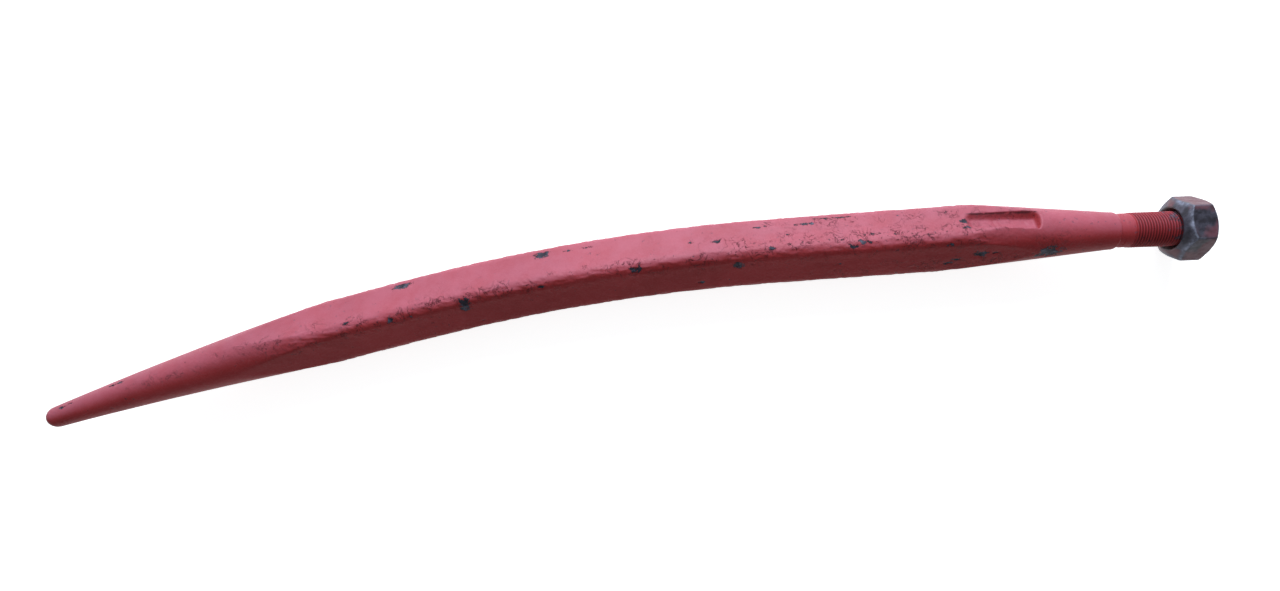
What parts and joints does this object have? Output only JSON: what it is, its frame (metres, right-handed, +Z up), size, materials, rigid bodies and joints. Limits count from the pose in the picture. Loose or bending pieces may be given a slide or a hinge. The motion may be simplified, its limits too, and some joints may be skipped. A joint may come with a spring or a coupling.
{
  "type": "bale spear",
  "caption": "Long forged spear for carrying bales: bowed square bar with a round tapered point, a keyed round taper and a threaded stud with its hexagon nut.",
  "frame": {"origin": "middle of the base of the bounding box, with the spear lying on the lower corner of its square bar", "axes": "+X along the stud, from the point towards the nut; the bend lies in the horizontal XY plane, with its outer side towards +Y; +Z up"},
  "size_m": [0.6846, 0.1152, 0.0375],
  "materials": {
    "paint": "thick worn oxide-red paint over forged steel",
    "nut_steel": "dark steel with worn bright edges and traces of red paint"
  },
  "bodies": {
    "root": {"spear": "paint", "hex_nut": "nut_steel"}
  },
  "joints": []
}
